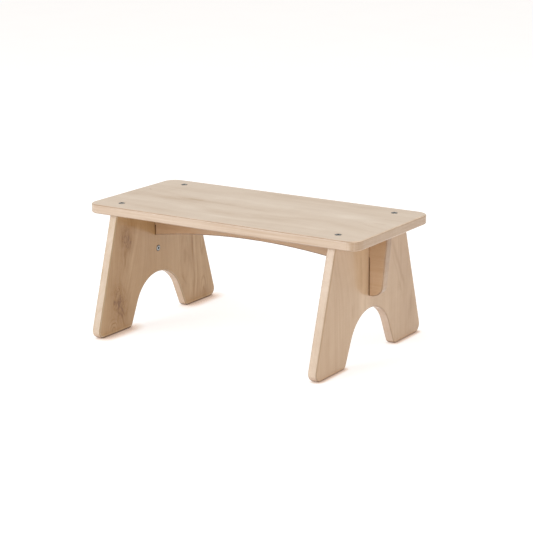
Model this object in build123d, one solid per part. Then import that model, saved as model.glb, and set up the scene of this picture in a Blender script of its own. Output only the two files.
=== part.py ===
from build123d import *
import os
from math import atan, cos, radians, sin, sqrt, tan

# Low solid-wood bench: seat board, two slotted A-shaped legs, one notched stretcher,
# six raised-head hex-socket screws and the threaded inserts that they turn into.
# Origin: centre of the footprint, on the floor.  +X along the seat, +Z up.  Millimetres.

# ---- seat board ----
seat_l = 600.0
seat_w = 275.0
seat_t = 18.0
seat_h = 250.0            # top of the seat above the floor
seat_corner_r = 25.0      # plan corners
edge_r = 3.0              # round-over on every exposed edge

# ---- leg panels (plane of each leg is YZ) ----
leg_t = 18.0
leg_x = 243.0             # centre of a leg's thickness
leg_top_half = 126.0
leg_base_half = 196.0
foot_outer_r = 15.0
foot_inner_r = 10.0
arch_r = 75.0             # crown of the cut-out between the feet
arch_cz = 17.5            # height of the crown's centre
arch_side_deg = 24.2      # cut-out sides, measured from vertical

# ---- stretcher ----
rail_t = 18.0
tab_top_x = 290.0         # end of the tab under the seat
tab_bot_x = 279.0         # end of the tab at its lower edge
tab_bot_z = 117.5
tab_corner_r = 22.0
rail_mid_z = 188.5        # lower edge at mid-length
rail_end_z = 168.5        # lower edge where it meets a leg
rail_edge_r = 2.5

# ---- cross-lap between stretcher and legs ----
lap_z = 190.0             # bottom of the leg's slot, top of the stretcher's notch
lap_gap = 0.1             # clearance on each side

# ---- fasteners ----
scr_d = 6.0
scr_head_d = 12.0
scr_bevel = 1.2           # 45 degree bevel round the raised top
scr_head_rim = 0.2        # cylindrical rim between the bevel and the 90 degree cone
scr_socket_af = 4.0
scr_socket_depth = 2.6
scr_hole_d = 6.6
scr_sink_d = 12.6         # countersink mouth
scr_proud = 0.9           # head top above the wood
seat_scr_x = 242.0        # screws sit 1 mm inboard of the leg's middle
seat_scr_y = 101.5
seat_scr_len = 40.0
leg_scr_z = 141.0
leg_scr_len = 35.0
ins_d = 9.9
ins_bore_d = 6.1
ins_len = 15.0
ins_hole_d = 10.0

under = seat_h - seat_t   # underside of the seat
ix = leg_x - leg_t / 2    # inner face of a leg
ox = leg_x + leg_t / 2    # outer face of a leg


def solid_of(shape):
    s = shape.solids()
    return s[0] if len(s) == 1 else shape


# ---------------------------------------------------------------- fastener shapes
def raised_head_screw(length):
    """Countersunk hex-socket screw with a raised, bevelled head, head top at z = 0, shank down."""
    hr, sr = scr_head_d / 2, scr_d / 2
    neck = scr_bevel + scr_head_rim
    cone = hr - sr
    tip = 0.8
    prof = Polyline(
        (0, 0), (hr - scr_bevel, 0), (hr, -scr_bevel), (hr, -neck), (sr, -neck - cone),
        (sr, -length + tip), (sr - tip, -length), (0, -length), close=True)
    body = revolve(Plane.XZ * make_face(prof), Axis.Z)
    hexa = RegularPolygon(radius=scr_socket_af / 2, side_count=6, major_radius=False)
    body -= extrude(Plane.XY * hexa, amount=-scr_socket_depth)
    # drill point at the bottom of the socket
    cone_s = revolve(Plane.XZ * make_face(Polyline(
        (0, -scr_socket_depth + 0.01), (scr_socket_af / 2 * 0.98, -scr_socket_depth + 0.01),
        (0, -scr_socket_depth - 0.7), close=True)), Axis.Z)
    body -= cone_s
    return solid_of(body)


def threaded_insert():
    """Screw-in insert with ring barbs outside, top at z = 0."""
    r, ri, n = ins_d / 2, ins_bore_d / 2, 5
    pts = [(ri, 0), (r, 0), (r, -1.2)]
    pitch = (ins_len - 2.4) / n
    z = -1.2
    for _ in range(n):
        pts += [(r - 0.9, z - 0.25), (r - 0.9, z - pitch * 0.45), (r, z - pitch * 0.9), (r, z - pitch)]
        z -= pitch
    pts += [(r - 0.8, -ins_len), (ri, -ins_len)]
    body = revolve(Plane.XZ * make_face(Polyline(*pts, close=True)), Axis.Z)
    # cross slot for the driver in the top
    slot = Box(ins_d + 2, 1.6, 1.6, align=(Align.CENTER, Align.CENTER, Align.MAX))
    slot -= Cylinder(ins_bore_d / 2 - 0.2, 4)
    body -= slot
    return solid_of(body)


def screw_bore(depth_clear, sink_top=0.0):
    """Clearance hole with a 90 degree countersink; wood face at z = 0, bore down."""
    sr, hr = scr_hole_d / 2, scr_sink_d / 2
    lip = scr_bevel + scr_head_rim - scr_proud
    prof = Polyline((0, 1), (hr, 1), (hr, -lip), (sr, -lip - (hr - sr)), (sr, -depth_clear),
                    (0, -depth_clear), close=True)
    return revolve(Plane.XZ * make_face(prof), Axis.Z)


def insert_bore(depth_extra):
    """Hole for an insert with a narrower run-out for the screw's tip; mouth at z = 0, down."""
    r, sr = ins_hole_d / 2, scr_hole_d / 2
    prof = Polyline((0, 0.5), (r, 0.5), (r, -ins_len - 0.2), (sr, -ins_len - 0.2),
                    (sr, -ins_len - depth_extra), (0, -ins_len - depth_extra - sr * 0.6), close=True)
    return revolve(Plane.XZ * make_face(prof), Axis.Z)


seat_spots = [(sx * seat_scr_x, sy * seat_scr_y) for sx in (-1, 1) for sy in (-1, 1)]

# ---------------------------------------------------------------- seat board
plan = RectangleRounded(seat_l, seat_w, seat_corner_r)
seat = extrude(Plane.XY.offset(under) * plan, amount=seat_t)
rim_edges = seat.edges().filter_by(lambda e: abs(e.center().Z - seat_h) < 1e-3 or abs(e.center().Z - under) < 1e-3)
seat = fillet(rim_edges, edge_r)
for x, y in seat_spots:
    seat -= Pos(x, y, seat_h) * screw_bore(seat_t + 2)
seat = solid_of(seat)

# ---------------------------------------------------------------- leg panel
a = radians(arch_side_deg)
# side line of the cut-out: tangent to the crown, leaning at angle a from vertical
tan_pt = (arch_r * cos(a), arch_cz + arch_r * sin(a))
base_y = tan_pt[0] + tan_pt[1] * tan(a)
outline = [
    Line((-leg_top_half, under), (-leg_base_half, 0)),
    Line((-leg_base_half, 0), (-base_y, 0)),
    Line((-base_y, 0), (-tan_pt[0], tan_pt[1])),
    ThreePointArc((-tan_pt[0], tan_pt[1]), (0, arch_cz + arch_r), (tan_pt[0], tan_pt[1])),
    Line((tan_pt[0], tan_pt[1]), (base_y, 0)),
    Line((base_y, 0), (leg_base_half, 0)),
    Line((leg_base_half, 0), (leg_top_half, under)),
    Line((leg_top_half, under), (-leg_top_half, under)),
]
face = make_face(Wire([e.edge() if hasattr(e, "edge") else e for e in outline]))
outer_v = [v for v in face.vertices() if abs(v.Y) < 1e-6 and abs(abs(v.X) - leg_base_half) < 1e-3]
face = fillet(outer_v, foot_outer_r)
inner_v = [v for v in face.vertices() if abs(v.Y) < 1e-6 and abs(abs(v.X) - base_y) < 1e-3]
face = fillet(inner_v, foot_inner_r)


def make_leg(side):
    # sketch X -> world Y, sketch Y -> world Z
    pl = Plane(origin=(side * leg_x - leg_t / 2, 0, 0), x_dir=(0, 1, 0), z_dir=(1, 0, 0))
    leg = extrude(pl * face, amount=leg_t)
    x0, x1 = side * leg_x - leg_t / 2, side * leg_x + leg_t / 2

    def exposed(e):
        c = e.center()
        flat = abs(e.bounding_box().size.X) < 1e-3
        on_face = abs(c.X - x0) < 1e-3 or abs(c.X - x1) < 1e-3
        return flat and on_face and not (e.bounding_box().min.Z > under - 1e-3)

    leg = fillet(leg.edges().filter_by(exposed), edge_r)
    # slot from the top edge for the stretcher
    slot_w = rail_t + 2 * lap_gap
    leg -= Pos(side * leg_x, 0, lap_z) * Box(leg_t + 2, slot_w, under - lap_z + 2,
                                             align=(Align.CENTER, Align.CENTER, Align.MIN))
    # holes for the inserts in the top edge
    for sy in (-1, 1):
        leg -= Pos(side * seat_scr_x, sy * seat_scr_y, under) * insert_bore(12.0)
    # screw hole, countersunk on the inner face, running outwards
    inner = Plane(origin=(side * ix, 0, leg_scr_z), x_dir=(0, 1, 0), z_dir=(-side, 0, 0))
    leg -= inner.location * screw_bore(leg_t + 2)
    return solid_of(leg)


left_leg = make_leg(-1)
right_leg = make_leg(1)

# ---------------------------------------------------------------- stretcher
nx_in, nx_out = ix - lap_gap, ox + lap_gap
pts_right = [(tab_top_x, under), (tab_bot_x, tab_bot_z), (nx_out, tab_bot_z), (nx_out, lap_z),
             (nx_in, lap_z), (nx_in, rail_end_z)]
prof_edges = []
for p, q in zip(pts_right[:-1], pts_right[1:]):
    prof_edges.append(Line(p, q))
    prof_edges.append(Line((-p[0], p[1]), (-q[0], q[1])))
prof_edges.append(ThreePointArc((nx_in, rail_end_z), (0, rail_mid_z), (-nx_in, rail_end_z)))
prof_edges.append(Line((tab_top_x, under), (-tab_top_x, under)))
rail_face = make_face(Wire([e.edge() for e in prof_edges]))
corner_v = [v for v in rail_face.vertices() if abs(v.Y - tab_bot_z) < 1e-3 and abs(abs(v.X) - tab_bot_x) < 1e-3]
rail_face = fillet(corner_v, tab_corner_r)
pl = Plane(origin=(0, rail_t / 2, 0), x_dir=(1, 0, 0), z_dir=(0, -1, 0))
rail = extrude(pl * rail_face, amount=rail_t)


def rail_exposed(e):
    bb = e.bounding_box()
    c = e.center()
    flat = bb.size.Y < 1e-3
    top = bb.min.Z > under - 1e-3
    # the edges inside the lap stay square, the walls below the lap are eased like the rest
    lap = abs(bb.max.Z - lap_z) < 1e-3 and bb.size.Z < 1e-3
    return flat and not top and not lap


rail = fillet(rail.edges().filter_by(rail_exposed), rail_edge_r)
for s in (-1, 1):
    mouth = Plane(origin=(s * nx_out, 0, leg_scr_z), x_dir=(0, 1, 0), z_dir=(-s, 0, 0))
    rail -= mouth.location * insert_bore(5.0)
stretcher = solid_of(rail)

# ---------------------------------------------------------------- fasteners in place
seat_screw = raised_head_screw(seat_scr_len)
seat_screws = Compound(children=[Pos(x, y, seat_h + scr_proud) * seat_screw for x, y in seat_spots])
leg_screw = raised_head_screw(leg_scr_len)
leg_screws = Compound(children=[
    Plane(origin=(s * (ix - scr_proud), 0, leg_scr_z), x_dir=(0, 1, 0), z_dir=(-s, 0, 0)).location * leg_screw
    for s in (-1, 1)])
insert = threaded_insert()
leg_top_inserts = Compound(children=[Pos(x, y, under - 0.1) * insert for x, y in seat_spots])
stretcher_inserts = Compound(children=[
    Plane(origin=(s * (nx_out + 0.1), 0, leg_scr_z), x_dir=(0, 1, 0), z_dir=(-s, 0, 0)).location * insert
    for s in (-1, 1)])

nodes = {
    "seat_board": seat,
    "left_leg": left_leg,
    "right_leg": right_leg,
    "stretcher": stretcher,
    "seat_screws": seat_screws,
    "leg_screws": leg_screws,
    "leg_top_inserts": leg_top_inserts,
    "stretcher_inserts": stretcher_inserts,
}

os.makedirs("parts", exist_ok=True)
for name, shape in nodes.items():
    export_step(shape, f"parts/{name}.step")
    print(name, round(shape.volume / 1000, 2), "cm3")
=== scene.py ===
import bpy
import math
from mathutils import Matrix, Vector

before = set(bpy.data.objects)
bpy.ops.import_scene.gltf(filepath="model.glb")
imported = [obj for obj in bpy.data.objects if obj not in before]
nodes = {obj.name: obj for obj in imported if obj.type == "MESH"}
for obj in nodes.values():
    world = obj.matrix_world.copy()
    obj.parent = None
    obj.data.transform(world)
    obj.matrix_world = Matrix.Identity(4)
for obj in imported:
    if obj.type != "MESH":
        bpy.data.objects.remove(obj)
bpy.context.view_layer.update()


# ------------------------------------------------------------------ node helpers
class Tree:
    """Short calls for building a material's node tree. Sockets or numbers go in, sockets come out."""

    def __init__(self, name):
        self.mat = bpy.data.materials.new(name)
        self.mat.use_nodes = True
        self.t = self.mat.node_tree
        self.t.nodes.clear()
        self.out = self.t.nodes.new("ShaderNodeOutputMaterial")
        self.bsdf = self.t.nodes.new("ShaderNodeBsdfPrincipled")
        self.t.links.new(self.bsdf.outputs[0], self.out.inputs[0])

    def put(self, socket, value):
        if isinstance(value, bpy.types.NodeSocket):
            self.t.links.new(value, socket)
        elif value is not None:
            socket.default_value = value

    def m(self, op, a, b=None, c=None, clamp=False):
        n = self.t.nodes.new("ShaderNodeMath")
        n.operation = op
        n.use_clamp = clamp
        self.put(n.inputs[0], a)
        if b is not None:
            self.put(n.inputs[1], b)
        if c is not None:
            self.put(n.inputs[2], c)
        return n.outputs[0]

    def add(self, *xs):
        r = xs[0]
        for x in xs[1:]:
            r = self.m("ADD", r, x)
        return r

    def sub(self, a, b):
        return self.m("SUBTRACT", a, b)

    def mul(self, *xs):
        r = xs[0]
        for x in xs[1:]:
            r = self.m("MULTIPLY", r, x)
        return r

    def lin(self, x, k, c):
        return self.m("MULTIPLY_ADD", x, k, c)

    def smooth(self, x, lo, hi, a=0.0, b=1.0):
        n = self.t.nodes.new("ShaderNodeMapRange")
        n.interpolation_type = "SMOOTHSTEP"
        self.put(n.inputs["Value"], x)
        n.inputs["From Min"].default_value = lo
        n.inputs["From Max"].default_value = hi
        n.inputs["To Min"].default_value = a
        n.inputs["To Max"].default_value = b
        return n.outputs[0]

    def xyz(self, v):
        n = self.t.nodes.new("ShaderNodeSeparateXYZ")
        self.put(n.inputs[0], v)
        return n.outputs[0], n.outputs[1], n.outputs[2]

    def vec(self, x, y, z):
        n = self.t.nodes.new("ShaderNodeCombineXYZ")
        self.put(n.inputs[0], x)
        self.put(n.inputs[1], y)
        self.put(n.inputs[2], z)
        return n.outputs[0]

    def noise(self, v, detail=2.0, rough=0.5, dist=0.0, scale=1.0, lac=2.0):
        n = self.t.nodes.new("ShaderNodeTexNoise")
        n.noise_dimensions = "3D"
        self.put(n.inputs["Vector"], v)
        n.inputs["Scale"].default_value = scale
        n.inputs["Detail"].default_value = detail
        n.inputs["Roughness"].default_value = rough
        n.inputs["Lacunarity"].default_value = lac
        n.inputs["Distortion"].default_value = dist
        return n.outputs[0]

    def white(self, w):
        n = self.t.nodes.new("ShaderNodeTexWhiteNoise")
        n.noise_dimensions = "1D"
        self.put(n.inputs["W"], w)
        return n.outputs[0]

    def voronoi(self, v, scale=1.0, rand=1.0):
        n = self.t.nodes.new("ShaderNodeTexVoronoi")
        n.voronoi_dimensions = "3D"
        n.feature = "F1"
        self.put(n.inputs["Vector"], v)
        n.inputs["Scale"].default_value = scale
        n.inputs["Randomness"].default_value = rand
        return n.outputs["Distance"]

    def mix(self, fac, a, b, kind="MIX"):
        n = self.t.nodes.new("ShaderNodeMix")
        n.data_type = "RGBA"
        n.blend_type = kind
        n.clamp_factor = True
        self.put(n.inputs[0], fac)
        self.put(n.inputs[6], a)
        self.put(n.inputs[7], b)
        return n.outputs[2]

    def ramp(self, fac, stops, kind="LINEAR"):
        n = self.t.nodes.new("ShaderNodeValToRGB")
        n.color_ramp.interpolation = kind
        e = n.color_ramp.elements
        while len(e) > 1:
            e.remove(e[-1])
        e[0].position, e[0].color = stops[0][0], stops[0][1]
        for p, c in stops[1:]:
            k = e.new(p)
            k.color = c
        self.put(n.inputs[0], fac)
        return n.outputs[0]

    def mm(self):
        """Position in the object's own frame, in millimetres."""
        c = self.t.nodes.new("ShaderNodeTexCoord")
        n = self.t.nodes.new("ShaderNodeVectorMath")
        n.operation = "SCALE"
        self.t.links.new(c.outputs["Object"], n.inputs[0])
        n.inputs["Scale"].default_value = 1000.0
        return n.outputs[0]

    def normal(self):
        g = self.t.nodes.new("ShaderNodeTexCoord")
        return g.outputs["Normal"]

    def bump(self, height, strength, distance):
        n = self.t.nodes.new("ShaderNodeBump")
        n.inputs["Strength"].default_value = strength
        n.inputs["Distance"].default_value = distance
        self.put(n.inputs["Height"], height)
        return n.outputs[0]


def srgb(r, g, b):
    def f(c):
        c /= 255.0
        return c / 12.92 if c <= 0.04045 else ((c + 0.055) / 1.055) ** 2.4
    return (f(r), f(g), f(b), 1.0)


# ------------------------------------------------------------------ solid wood
def wood(name, lay, centre, pith, light, dark, seed=0.0, ring_mm=4.0, ring_gain=0.30, taper=0.03, wander=1.0,
         bends=(), ridges=(), strokes=(), whorls=(), smudges=(), band=0.5, streak=0.3, fibre_gain=0.22,
         edge_light_tint=(1.0, 0.965, 0.92), end_grain_and_shade=(0.95, 0.90, 0.84), crest_shade_and_sheen=(0.80, 0.80, 0.81),
         rim_sheen_and_shade=(1.0, 1.0, 1.0), rim_low_highlight=None, end_crest_highlight=None,
         sole_shadow_tint=(0.30, 0.24, 0.20), sole_highlight_and_shadow=None, edge_lines=0.3, underside_shade=(0.86, 0.80, 0.76), end_from=0.22, end_to=0.80, stripe=0.0, shade_grade=None,
         base_rough=0.46, coat=0.7):
    """Solid wood with its figure laid out along the fibres.
    lay: which world axis runs along the fibres, across the wide face and through the thickness, such as 'XYZ'.
    centre: the board's middle in mm.  pith: (across, through) place of the log's heart in the board's section.
    bends:   (along, across, size along, size across, shift) push the fibres sideways round a place.
    ridges:  (fibre line, half width, gain, from, to) soft stripes that follow the fibres.
    strokes: (along, across, slope, curve, half width, gain, from, to) single dark or pale lines.
    whorls:  (along, across, aspect, first ring, step, gain, then the window's along, across and two sizes).
    smudges: (along, across, size along, size across, gain) clouded places round knots.
    shade_grade: (across from, across to, tint from, tint to) painted shade, a slow change of tone over the board's
    width."""
    t = Tree(name)
    p = t.mm()
    pos = dict(zip("XYZ", t.xyz(p)))
    nrm = dict(zip("XYZ", t.xyz(t.normal())))
    cen = dict(zip("XYZ", centre))
    g, a, b = [t.lin(pos[k], 1.0, -cen[k]) for k in lay]
    ng, na, nb = [nrm[k] for k in lay]

    def field(kg, ka, kb, off, src=None, **kw):
        return t.noise(t.vec(t.lin(g, kg, seed + off), t.lin(src or a, ka, off * 1.7 - seed), t.lin(b, kb, off * 0.6 + seed)), **kw)

    def gauss(u, v):
        return t.m("EXPONENT", t.mul(t.add(t.mul(u, u), t.mul(v, v)), -1.0))

    def tinted(mask, colour, tint):
        return t.mix(mask, colour, t.mix(1.0, colour, tuple(tint) + (1.0,), "MULTIPLY"))

    nn = t.mul(nb, nb)
    face = t.smooth(nn, 0.30, 0.75)
    drawn = 0.0
    # an uneven hand in every drawn feature
    jg = t.lin(field(0.03, 0.05, 0.02, 21.3, detail=2.0), 9.0, -4.5)
    ja = t.lin(field(0.022, 0.06, 0.02, 23.9, detail=3.0, rough=0.6), 7.0, -3.5)
    fade = t.smooth(field(0.016, 0.04, 0.02, 27.1, detail=2.0), 0.30, 0.62, 0.35, 1.15)

    # fibre line that passes through each point
    w1 = t.lin(field(0.0040, 0.010, 0.006, 3.1, detail=1.5), 22.0 * wander, -11.0 * wander)
    w2 = t.lin(field(0.014, 0.030, 0.02, 7.7, detail=2.0), 6.0 * wander, -3.0 * wander)
    psi = t.add(a, w1, w2)
    for (bg, ba, sg, sa, h) in bends:
        psi = t.add(psi, t.mul(gauss(t.lin(g, 1.0 / sg, -bg / sg), t.lin(a, 1.0 / sa, -ba / sa)), h))
    # growth rings
    da = t.lin(psi, 1.0, -pith[0])
    db = t.lin(b, 1.0, -pith[1])
    r = t.m("SQRT", t.add(t.mul(da, da), t.mul(db, db)))
    r = t.add(r, t.mul(g, taper), t.lin(field(0.05, 0.15, 0.15, 1.9, detail=1.0), 1.4, -0.7))
    ph = t.mul(r, 1.0 / ring_mm)
    year = t.m("FLOOR", ph)
    f = t.m("FRACT", ph)
    late = t.mul(t.m("POWER", f, 4.0), t.smooth(f, 1.0, 0.95))
    tone = t.white(t.lin(year, 1.0, seed * 13.0 + 0.5))
    ring = t.mul(late, t.lin(tone, 0.8, 0.2))

    # broad bands, long streaks, clouding, fibres
    bandv = t.noise(t.vec(t.lin(psi, 0.040, seed), t.lin(g, 0.0040, seed * 2.0), t.mul(b, 0.01)), detail=2.5, rough=0.55)
    streakv = field(0.0030, 0.16, 0.03, 9.1, src=psi, detail=3.0, rough=0.55)
    cloud = field(0.010, 0.030, 0.02, 2.4, detail=2.5)
    fibre = field(0.030, 1.5, 1.5, 4.4, detail=3.0, rough=0.6)
    fine = field(0.14, 4.5, 4.5, 6.2, detail=2.0, rough=0.6)
    curl = t.noise(t.vec(t.lin(g, 0.10, seed), t.lin(a, 0.022, seed), t.mul(b, 0.05)), detail=2.0)
    tone_f = t.add(t.lin(bandv, band, -0.5 * band), t.lin(streakv, streak, -0.5 * streak), t.lin(cloud, 0.26, -0.13),
                   t.lin(fibre, fibre_gain, -0.5 * fibre_gain), t.lin(fine, 0.12, -0.06), t.lin(curl, 0.10, -0.05),
                   t.mul(ring, ring_gain), 0.42)
    for (q0, hw, gn, lo, hi) in ridges:
        q = t.lin(psi, 1.0 / hw, -q0 / hw)
        win = t.mul(t.smooth(g, lo - 35.0, lo + 35.0), t.smooth(g, hi + 35.0, hi - 35.0))
        tone_f = t.add(tone_f, t.mul(t.m("EXPONENT", t.mul(q, q, -1.0)), win, fade, gn))
    for (g0, a0, k, c, hw, gn, lo, hi) in strokes:
        u = t.add(t.lin(g, 1.0, -g0), jg)
        mid_a = t.add(t.mul(u, k), t.mul(u, u, c))
        q = t.mul(t.sub(t.add(t.lin(a, 1.0, -a0), t.mul(ja, 0.6)), mid_a), 1.0 / hw)
        soft = 0.18 * abs(hi - lo) + 2.0
        win = t.mul(t.smooth(g, lo - soft, lo + soft), t.smooth(g, hi + soft, hi - soft))
        drawn = t.add(drawn, t.mul(t.m("EXPONENT", t.mul(q, q, -1.0)), win, gn))
    for (g0, a0, asp, r0, step, gn, wg, wa, sg, sa) in whorls:
        loose = min(1.0, step / 7.0)
        u = t.mul(t.add(t.lin(g, 1.0, -g0), t.mul(jg, 0.9 * loose)), 1.0 / asp)
        v = t.add(t.lin(a, 1.0, -a0), t.mul(ja, 0.9 * loose))
        rr = t.m("SQRT", t.add(t.mul(u, u), t.mul(v, v)))
        wave = t.m("COSINE", t.lin(rr, 2.0 * math.pi / step, -2.0 * math.pi * r0 / step))
        line = t.m("POWER", t.lin(wave, 0.5, 0.5), 3.0)
        win = gauss(t.lin(g, 1.0 / sg, -wg / sg), t.lin(a, 1.0 / sa, -wa / sa))
        drawn = t.add(drawn, t.mul(t.lin(line, gn, -0.30 * gn), win))
    if smudges:
        mott = t.smooth(field(0.045, 0.10, 0.08, 31.7, detail=4.0, rough=0.60, dist=1.1), 0.34, 0.66)
        veins = t.noise(t.vec(t.lin(g, 0.042, seed), t.add(t.lin(a, 0.085, seed), t.mul(g, -0.030)), t.mul(b, 0.05)), detail=2.5, rough=0.6, dist=1.4)
        lines = t.smooth(t.m("ABSOLUTE", t.lin(veins, 1.0, -0.5)), 0.045, 0.0)
        mott = t.add(t.mul(mott, 0.50), t.mul(lines, 0.26), 0.50)
        for (g0, a0, sg, sa, gn) in smudges:
            e = gauss(t.add(t.lin(g, 1.0 / sg, -g0 / sg), t.mul(jg, 0.9 / sg)), t.add(t.lin(a, 1.0 / sa, -a0 / sa), t.mul(ja, 1.1 / sa)))
            drawn = t.add(drawn, t.mul(e, mott, gn))
    tone_f = t.add(tone_f, t.mul(drawn, face))
    # short dark flecks on the long faces, pores and soft lines where the fibres are cut across
    endm = t.smooth(t.mul(ng, ng), end_from, end_to)
    side = t.lin(nn, -1.0, 1.0)
    fleckv = t.voronoi(t.vec(t.lin(g, 0.14, seed), t.mul(a, 0.95), t.mul(b, 0.95)), 1.0)
    fleck = t.mul(t.smooth(fleckv, 0.17, 0.05), t.smooth(field(0.02, 0.05, 0.05, 17.0, detail=2.0), 0.40, 0.62))
    pores = t.voronoi(t.vec(t.mul(g, 0.12), t.mul(a, 1.3), t.mul(b, 1.3)), 1.0)
    spot = t.smooth(pores, 0.34, 0.12)
    growth = t.noise(t.vec(t.mul(a, 0.030), t.lin(b, 0.30, seed), t.mul(g, 0.01)), detail=3.0, rough=0.6, dist=0.5)
    tone_f = t.add(tone_f, t.mul(fleck, t.lin(endm, -0.30, 0.30)))
    endtone = t.add(t.mul(spot, 0.16), t.lin(growth, 0.75, -0.375), t.lin(field(0.3, 0.35, 0.35, 8.8, detail=3.0, rough=0.6), 0.3, -0.15))
    tone_f = t.add(tone_f, t.mul(endm, endtone))
    # upright stripes where the fibres run out round a corner
    ng2 = t.mul(ng, ng)
    turn = t.mul(t.smooth(ng2, 0.004, 0.05), t.smooth(ng2, 0.97, 0.60), t.smooth(side, 0.50, 0.95))
    stripes = t.noise(t.vec(t.lin(g, 0.45, seed), t.mul(a, 0.14), t.mul(b, 0.02)), detail=1.0)
    tone_f = t.add(tone_f, t.mul(turn, t.lin(stripes, stripe, -0.5 * stripe)))

    edgev = t.noise(t.vec(t.lin(b, 0.34, seed), t.mul(g, 0.006), t.mul(a, 0.01)), detail=2.0)
    tone_f = t.add(tone_f, t.mul(t.smooth(side, 0.80, 0.98), t.lin(endm, -1.0, 1.0), t.lin(edgev, 2.0 * edge_lines, -edge_lines)))

    mid = tuple(0.5 * (l + d) for l, d in zip(light, dark))
    deep = tuple(c * k for c, k in zip(dark, (0.62, 0.50, 0.28, 1.0)))
    col = t.ramp(tone_f, [(0.0, light), (0.42, mid), (0.80, dark), (1.0, deep)])
    # painted shade: a slow tint across the board's width
    if shade_grade:
        a_lo, a_hi, t_lo, t_hi = shade_grade
        gt = t.smooth(a, a_lo, a_hi)
        col = t.mix(gt, t.mix(1.0, col, tuple(t_lo) + (1.0,), "MULTIPLY"), t.mix(1.0, col, tuple(t_hi) + (1.0,), "MULTIPLY"))
    # painted light on the narrow long edges, tinted by how they face the lamps: lighter and cooler on the legs, darker
    # on the seat and rail; cut ends darker as end grain, set darker still on the seat and the rail's tab as painted
    # shade
    edge_light_mask = t.mul(t.smooth(side, 0.50, 0.98), t.lin(endm, -1.0, 1.0))
    col = tinted(edge_light_mask, col, edge_light_tint)
    col = tinted(t.mul(endm, t.smooth(side, 0.35, 0.90)), col, end_grain_and_shade)
    # painted shade: surfaces that face the floor are darkened, and the rounding at the soles gets a painted contact
    # shadow
    low = t.smooth(nrm["Z"], -0.12, -0.45)
    col = tinted(low, col, underside_shade)
    # painted contact shadow only on the rounding: the flat sole itself keeps the plain wood colour
    sole = t.mul(t.mul(t.smooth(pos["Z"], 5.0, 2.0), t.smooth(nrm["Z"], -0.40, -0.70)), t.smooth(pos["Z"], 0.1, 0.5))
    col = tinted(sole, col, sole_shadow_tint)
    # crest of every eased edge gets a painted tint: painted shade on the seat and rail, a cooler painted sheen on the
    # legs; the same mask makes the crest slightly rougher, as worn
    crest = t.mul(nn, side, 4.0)
    crest_wear_and_shade = t.mul(t.smooth(crest, 0.25, 0.90), t.smooth(field(0.02, 0.05, 0.05, 12.3, detail=3.0, rough=0.6), 0.25, 0.70, 0.75, 1.0))
    # painted highlight: the crest around cut ends is lightened
    if end_crest_highlight:
        col = tinted(t.mul(t.smooth(crest, 0.20, 0.80), endm), col, end_crest_highlight)
    crest_wear_and_shade = t.mul(crest_wear_and_shade, t.lin(endm, -0.9, 1.0))
    col = tinted(crest_wear_and_shade, col, crest_shade_and_sheen)
    # painted line where the rounding meets the wide face: a cool painted highlight on the left leg, painted shade on
    # the right leg and the rail
    rimm = t.mul(t.smooth(nn, 0.72, 0.88), t.smooth(nn, 0.995, 0.95))
    col = tinted(rimm, col, rim_sheen_and_shade)
    if sole_highlight_and_shadow:
        # painted highlight: a pale line on the rounding a few millimetres above the sole
        line = t.mul(t.smooth(pos["Z"], 2.8, 3.8), t.smooth(pos["Z"], 6.8, 5.0), t.smooth(nn, 0.50, 0.90))
        col = tinted(line, col, sole_highlight_and_shadow)
        # painted contact shadow: the lowest few millimetres of the faces are darkened
        col = tinted(t.mul(t.smooth(pos["Z"], 3.4, 2.0), t.smooth(nn, 0.02, 0.40)), col, (0.26, 0.19, 0.15))
    # painted highlight on the down-facing part of the rim line
    if rim_low_highlight:
        col = tinted(t.mul(rimm, t.smooth(nrm["Z"], -0.03, -0.14)), col, rim_low_highlight)
    # painted shade: darker where parts meet and in inner corners, from a short occlusion test
    ao = t.t.nodes.new("ShaderNodeAmbientOcclusion")
    ao.samples = 4
    ao.inputs["Distance"].default_value = 0.0028
    joint_shade = t.ramp(ao.outputs["AO"], [(0.0, (0.46, 0.38, 0.32, 1)), (0.50, (0.68, 0.61, 0.55, 1)), (0.75, (0.92, 0.88, 0.85, 1)), (0.96, (1, 1, 1, 1))])
    col = t.mix(1.0, col, joint_shade, "MULTIPLY")
    t.put(t.bsdf.inputs["Base Color"], col)
    rough = t.add(t.lin(fibre, 0.14, base_rough - 0.07), t.mul(endm, 0.10), t.mul(crest_wear_and_shade, 0.05), t.mul(ring, -0.04),
                  t.lin(field(0.012, 0.03, 0.03, 15.0, detail=3.0), 0.12, -0.06))
    t.put(t.bsdf.inputs["Roughness"], rough)
    height = t.add(t.mul(fibre, 0.5), t.mul(fine, 0.35), t.mul(ring, -0.25), t.mul(fleck, -0.8), t.mul(t.mul(spot, endm), -0.5))
    t.put(t.bsdf.inputs["Normal"], t.bump(height, 0.25, 0.00010))
    t.bsdf.inputs["IOR"].default_value = 1.46
    t.bsdf.inputs["Specular IOR Level"].default_value = 0.5
    t.bsdf.inputs["Coat Weight"].default_value = coat
    t.bsdf.inputs["Coat Roughness"].default_value = 0.17
    t.bsdf.inputs["Coat IOR"].default_value = 1.48
    return t.mat


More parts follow.
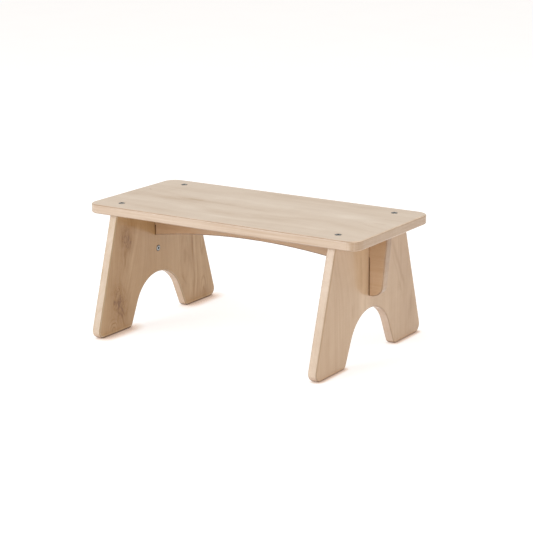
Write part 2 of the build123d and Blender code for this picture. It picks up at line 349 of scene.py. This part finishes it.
seat_mat = wood(
    "seat_wood_maple", "XYZ", (0, 0, 241), (-420.0, -60.0), srgb(240, 223, 202), srgb(207, 180, 150),
    seed=2.3, taper=0.02, wander=0.55, ring_mm=4.2, ring_gain=0.12, band=0.34, streak=0.20,
    bends=[(-25, -60, 110, 45, 22.0), (320, -50, 115, 45, 38.0), (-330, 35, 110, 38, -42.0)],
    ridges=[(112, 14, 0.12, -80, 250), (112, 26, 0.06, -140, 270), (-1, 8, 0.13, -190, 55), (-1, 18, 0.12, -235, 80),
            (32, 18, -0.20, -205, 225), (-20, 8, 0.17, 110, 310), (-27, 8, 0.12, 10, 130), (-45, 13, 0.16, -70, 120),
            (-14, 9, -0.16, -110, 110), (-78, 10, -0.18, -40, 200), (-96, 8, 0.14, 0, 110), (-86, 10, 0.12, 60, 190),
            (-49, 12, -0.13, -300, -90), (-20, 11, 0.12, -300, -130), (-104, 14, 0.10, -220, -70), (78, 14, 0.08, -260, -120),
            (0, 90, 0.09, -330, -150), (0, 90, -0.07, 160, 330)],
    strokes=[(265, 8, -0.10, 0.0, 3.0, 0.22, 250, 278), (285, 46, 0.05, 0.002, 2.5, 0.14, 250, 300),
             (-275, 31, -0.6, 0.0, 1.6, 0.50, -279, -271), (270, -20, -0.35, 0.003, 3.0, 0.12, 235, 300),
             (-140, 2, -0.04, 0.0, 6.0, 0.14, -158, -120)],
    edge_light_tint=(0.74, 0.71, 0.70), end_grain_and_shade=(0.645, 0.585, 0.535), crest_shade_and_sheen=(0.52, 0.42, 0.34),
    end_crest_highlight=(1.14, 1.16, 1.20),
    underside_shade=(0.86, 0.84, 0.83), end_from=0.01, end_to=0.30, stripe=0.9, edge_lines=0.45)
# painted shade: the left leg's colours are set darker and more saturated than the right leg's, for its inner face that
# lies under the seat
left_mat = wood(
    "left_leg_wood_maple", "ZYX", (-243, 0, 0), (86.0, -70.0), srgb(193, 163, 125), srgb(149, 109, 54),
    seed=5.1, taper=0.10, wander=0.5, ring_mm=6.5, ring_gain=0.12, band=0.30, streak=0.24,
    bends=[(40, -95, 60, 45, 22.0), (180, -75, 60, 40, -18.0), (60, 125, 40, 14, -5.0)],
    ridges=[(114, 3.2, 0.34, 15, 150), (128, 3.2, 0.32, 20, 145), (121, 3.0, -0.30, 15, 150), (104, 3.0, -0.18, 10, 60), (66, 4, -0.12, 60, 190)],
    strokes=[(141, -106.5, 0.0, 0.0, 2.4, 0.22, 126, 158), (44, -121.5, -0.68, 0.0, 2.8, 0.22, 31, 57),
             (41, -133, -1.1, 0.0, 3.6, 0.20, 32, 50), (22, -118, -0.33, 0.0, 2.6, 0.26, 8, 38),
             (50, -100, 0.30, 0.0, 2.6, 0.16, 32, 68), (150, -77, 0.35, 0.0, 5.5, -0.12, 100, 215),
             (110, -93, 0.36, 0.0, 4.0, -0.10, 60, 160), (118, -84, 0.36, 0.0, 2.6, 0.10, 60, 170),
             (85, -104, 0.38, 0.0, 2.6, 0.10, 40, 120), (60, 82, -0.7, 0.0, 2.6, 0.16, 48, 70)],
    whorls=[(104, 88, 3.6, 13.0, 10.5, 0.16, 104, 88, 60, 20), (135, 147.5, 6.0, 5.5, 11.0, 0.44, 116, 147, 24, 8),
            (10, 151, 4.3, 9.0, 6.0, 0.44, 36, 151, 16, 12), (9, -147, 1.25, 11.0, 6.5, 0.36, 19, -147, 11, 13),
            (84, -130, 0.8, 4.5, 5.5, 0.18, 86, -130, 10, 10), (180, -104, 1.6, 4.0, 6.0, 0.16, 182, -104, 16, 10)],
    smudges=[(184, -104, 24, 17, 0.42), (170, -91, 16, 12, 0.40), (207, -84, 16, 14, 0.24), (140, -110, 46, 22, 0.18),
             (84, -132, 20, 19, 0.36), (60, -142, 7, 8, 0.28), (60, -134, 5, 10, 0.22), (58, -124, 14, 12, 0.26), (48, -132, 32, 30, 0.14),
             (68, -112, 15, 12, 0.24), (36, -126, 22, 24, 0.34), (112, 98, 22, 12, 0.18), (16, 154, 10, 12, 0.20), (224, -60, 16, 55, -0.20)],
    edge_light_tint=(1.39, 1.75, 2.78), end_grain_and_shade=(0.95, 0.90, 0.84), crest_shade_and_sheen=(0.92, 0.98, 1.06), rim_sheen_and_shade=(1.12, 1.52, 2.40),
    sole_shadow_tint=(0.14, 0.10, 0.08), sole_highlight_and_shadow=(1.12, 1.30, 1.65), edge_lines=0.15,
    underside_shade=(0.88, 0.81, 0.76))
right_mat = wood(
    "right_leg_wood_maple", "ZYX", (243, 0, 0), (-620.0, -180.0), srgb(208, 181, 150), srgb(171, 137, 101),
    seed=8.4, taper=0.03, wander=0.45, ring_mm=5.0, ring_gain=0.10, band=0.22, streak=0.36, fibre_gain=0.30,
    bends=[(240, -105, 75, 45, 30.0)],
    # the pale ridge at -26 across is a painted highlight beside the tab, standing in for its reflection in the leg's
    # face
    ridges=[(108, 2.2, 0.22, 130, 215), (113, 2.0, 0.20, 120, 205), (101, 2.0, 0.14, 150, 225), (60, 8, -0.14, 20, 220), (-26, 26, -0.46, 60, 260),
            (150, 34, 0.20, -60, 260), (150, 10, 0.10, 30, 120), (-150, 14, 0.08, 0, 120)],
    strokes=[(155, 102, -0.51, 0.0, 5.0, 0.24, 112, 200), (150, 92, -0.45, 0.0, 2.6, 0.12, 90, 190), (102, -66, 0.0, 0.0, 1.5, 0.22, 90, 112), (104, -60, 0.0, 0.0, 1.3, 0.14, 92, 114)],
    whorls=[(110, 103, 1.0, 3.0, 4.0, 0.12, 110, 103, 8, 7)],
    smudges=[(110, 104, 9, 6, 0.20)],
    edge_light_tint=(1.15, 1.31, 1.61), end_grain_and_shade=(0.95, 0.90, 0.84), crest_shade_and_sheen=(0.80, 0.84, 0.90), rim_sheen_and_shade=(0.92, 0.93, 0.95), edge_lines=0.15,
    underside_shade=(0.84, 0.78, 0.75))
rail_mat = wood(
    "stretcher_wood_maple", "XZY", (0, 0, 190), (-330.0, 60.0), srgb(212, 183, 148), srgb(172, 133, 95),
    seed=3.7, taper=0.05, wander=0.35, ring_mm=2.6, ring_gain=0.18, band=0.28, streak=0.34, fibre_gain=0.34,
    # painted shade: this ridge darkens the top of the rail near the left leg, under the seat
    ridges=[(30, 30, 0.16, -240, -90)],
    # painted shade: the rail is lighter and cooler at the bottom and darker towards the seat above
    shade_grade=(-60, 38, (1.17, 1.24, 1.38), (0.86, 0.84, 0.84)),
    edge_light_tint=(1.0, 0.97, 0.94), end_grain_and_shade=(0.77, 0.77, 0.81), crest_shade_and_sheen=(0.48, 0.40, 0.33), rim_sheen_and_shade=(0.80, 0.76, 0.72),
    underside_shade=(0.84, 0.82, 0.80))


# ------------------------------------------------------------------ metals
def steel(name):
    t = Tree(name)
    p = t.mm()
    brushed = t.noise(t.vec(*[t.mul(c, k) for c, k in zip(t.xyz(p), (5.0, 5.0, 5.0))]), detail=4.0, rough=0.6)
    cloudy = t.noise(p, detail=3.0, rough=0.6, scale=0.6)
    col = t.ramp(cloudy, [(0.3, (0.27, 0.28, 0.28, 1)), (0.7, (0.38, 0.39, 0.385, 1))])
    # painted shade in the socket and along the wood, from a short occlusion test
    ao = t.t.nodes.new("ShaderNodeAmbientOcclusion")
    ao.samples = 4
    ao.inputs["Distance"].default_value = 0.005
    socket_shade = t.ramp(ao.outputs["AO"], [(0.0, (0.02, 0.015, 0.012, 1)), (0.45, (0.14, 0.095, 0.06, 1)), (0.82, (0.24, 0.17, 0.12, 1)), (0.95, (1, 1, 1, 1))])
    col = t.mix(1.0, col, socket_shade, "MULTIPLY")
    t.put(t.bsdf.inputs["Base Color"], col)
    t.bsdf.inputs["Metallic"].default_value = 1.0
    t.put(t.bsdf.inputs["Roughness"], t.lin(brushed, 0.22, 0.20))
    t.put(t.bsdf.inputs["Normal"], t.bump(brushed, 0.15, 0.00003))
    return t.mat


def brass(name):
    t = Tree(name)
    p = t.mm()
    n1 = t.noise(p, detail=4.0, rough=0.6, scale=2.2)
    col = t.ramp(n1, [(0.3, (0.55, 0.37, 0.12, 1)), (0.7, (0.76, 0.55, 0.22, 1))])
    t.put(t.bsdf.inputs["Base Color"], col)
    t.bsdf.inputs["Metallic"].default_value = 1.0
    t.put(t.bsdf.inputs["Roughness"], t.lin(n1, 0.25, 0.22))
    t.put(t.bsdf.inputs["Normal"], t.bump(n1, 0.2, 0.00003))
    return t.mat


steel_mat = steel("screw_zinc_steel")
brass_mat = brass("insert_turned_brass")


def dress(node, mat):
    o = nodes[node]
    o.data.materials.clear()
    o.data.materials.append(mat)


dress("seat_board", seat_mat)
dress("left_leg", left_mat)
dress("right_leg", right_mat)
dress("stretcher", rail_mat)
dress("seat_screws", steel_mat)
dress("leg_screws", steel_mat)
dress("leg_top_inserts", brass_mat)
dress("stretcher_inserts", brass_mat)

# ------------------------------------------------------------------ floor, light, camera
# A pale lit table: mostly its own even glow, with a share of ordinary reflected light, and a painted warm shadow close
# to the feet from a short occlusion test that reaches further beside the left leg.
ft = Tree("floor_white")
fp = ft.mm()
fn = ft.noise(fp, detail=3.0, rough=0.5, scale=0.004)
floor_col = ft.ramp(fn, [(0.3, (0.49, 0.482, 0.476, 1)), (0.7, (0.51, 0.502, 0.496, 1))])
ft.bsdf.inputs["Roughness"].default_value = 0.9
ft.bsdf.inputs["Specular IOR Level"].default_value = 0.1
ao = ft.t.nodes.new("ShaderNodeAmbientOcclusion")
ao.samples = 6
ft.put(ao.inputs["Distance"], ft.smooth(ft.xyz(fp)[0], -160.0, 120.0, 0.028, 0.010))
lean = Vector((-0.70, -0.40, 0.60)).normalized()  # the shade lies on the side away from the key light
ft.put(ao.inputs["Normal"], ft.vec(*lean))
em_col = ft.ramp(ao.outputs["AO"], [(0.0, (0.05, 0.027, 0.017, 1)), (0.40, (0.45, 0.31, 0.235, 1)), (0.65, (0.60, 0.49, 0.42, 1)), (0.86, (0.675, 0.62, 0.585, 1)), (1.0, (0.715, 0.708, 0.706, 1))])
ft.put(ft.bsdf.inputs["Emission Color"], em_col)
contact_shadow = ft.ramp(ao.outputs["AO"], [(0.0, (0.12, 0.09, 0.07, 1)), (0.45, (0.70, 0.62, 0.57, 1)), (0.90, (1, 1, 1, 1))])
ft.put(ft.bsdf.inputs["Base Color"], ft.mix(1.0, floor_col, contact_shadow, "MULTIPLY"))
ft.bsdf.inputs["Emission Strength"].default_value = 1.0
me = bpy.data.meshes.new("floor")
s = 12.0
me.from_pydata([(-s, -s, 0), (s, -s, 0), (s, s, 0), (-s, s, 0)], [], [(0, 1, 2, 3)])
floor = bpy.data.objects.new("floor", me)
floor.location = (0, 0, -0.0003)
bpy.context.scene.collection.objects.link(floor)
me.materials.append(ft.mat)

# sky of the studio: neutral behind and to the left, a warmer wall to the right
world = bpy.data.worlds.new("studio")
bpy.context.scene.world = world
world.use_nodes = True
wt = world.node_tree
bg = wt.nodes["Background"]
wc = wt.nodes.new("ShaderNodeTexCoord")
wx = wt.nodes.new("ShaderNodeSeparateXYZ")
wt.links.new(wc.outputs["Generated"], wx.inputs[0])
wr = wt.nodes.new("ShaderNodeValToRGB")
el = wr.color_ramp.elements
el[0].position, el[0].color = 0.0, (0.98, 0.99, 1.0, 1)
el[1].position, el[1].color = 1.0, (1.0, 0.85, 0.68, 1)
k = el.new(0.5)
k.color = (1.0, 0.97, 0.93, 1)
wm = wt.nodes.new("ShaderNodeMath")
wm.operation = "MULTIPLY_ADD"
wt.links.new(wx.outputs[0], wm.inputs[0])
wm.inputs[1].default_value, wm.inputs[2].default_value = 0.5, 0.5
wt.links.new(wm.outputs[0], wr.inputs[0])
wt.links.new(wr.outputs[0], bg.inputs[0])
bg.inputs[1].default_value = 0.52


def area(name, loc, target, size, energy, color=(1, 1, 1)):
    d = bpy.data.lights.new(name, "AREA")
    d.shape = "RECTANGLE"
    d.size, d.size_y = size
    d.energy = energy
    d.color = color
    o = bpy.data.objects.new(name, d)
    o.location = loc
    o.rotation_euler = (Vector(target) - Vector(loc)).to_track_quat("-Z", "Y").to_euler()
    bpy.context.scene.collection.objects.link(o)
    return o


area("key", (-1.6, -2.8, 2.2), (0, 0, 0.15), (2.4, 2.4), 74.0, (0.96, 1.0, 1.07))
area("fill", (2.4, -2.6, 0.8), (0, 0, 0.15), (2.0, 1.6), 15.2, (1.0, 0.86, 0.72))
area("top", (0.2, 0.3, 3.2), (0, 0, 0.1), (3.5, 3.5), 36.0, (0.98, 1.0, 1.03))

cam_d = bpy.data.cameras.new("camera")
cam = bpy.data.objects.new("camera", cam_d)
bpy.context.scene.collection.objects.link(cam)
yaw, pitch, roll = 0.5846522, 0.2575821, -0.0061267
cam_loc = Vector((1.6762495, -2.4978563, 0.9279046))
cam_d.sensor_width = 36.0
cam_d.lens = 1630.2755 * 36.0 / 533.0
cam_d.clip_end = 60.0
fwd = Vector((-math.sin(yaw) * math.cos(pitch), math.cos(yaw) * math.cos(pitch), -math.sin(pitch)))
right = Vector((math.cos(yaw), math.sin(yaw), 0.0))
up = right.cross(fwd)
r2 = right * math.cos(roll) + up * math.sin(roll)
u2 = up * math.cos(roll) - right * math.sin(roll)
rot = Matrix((r2, u2, -fwd)).transposed().to_4x4()
cam.matrix_world = Matrix.Translation(cam_loc) @ rot
bpy.context.scene.camera = cam
bpy.context.scene.view_settings.view_transform = "Standard"
bpy.context.scene.view_settings.look = "None"
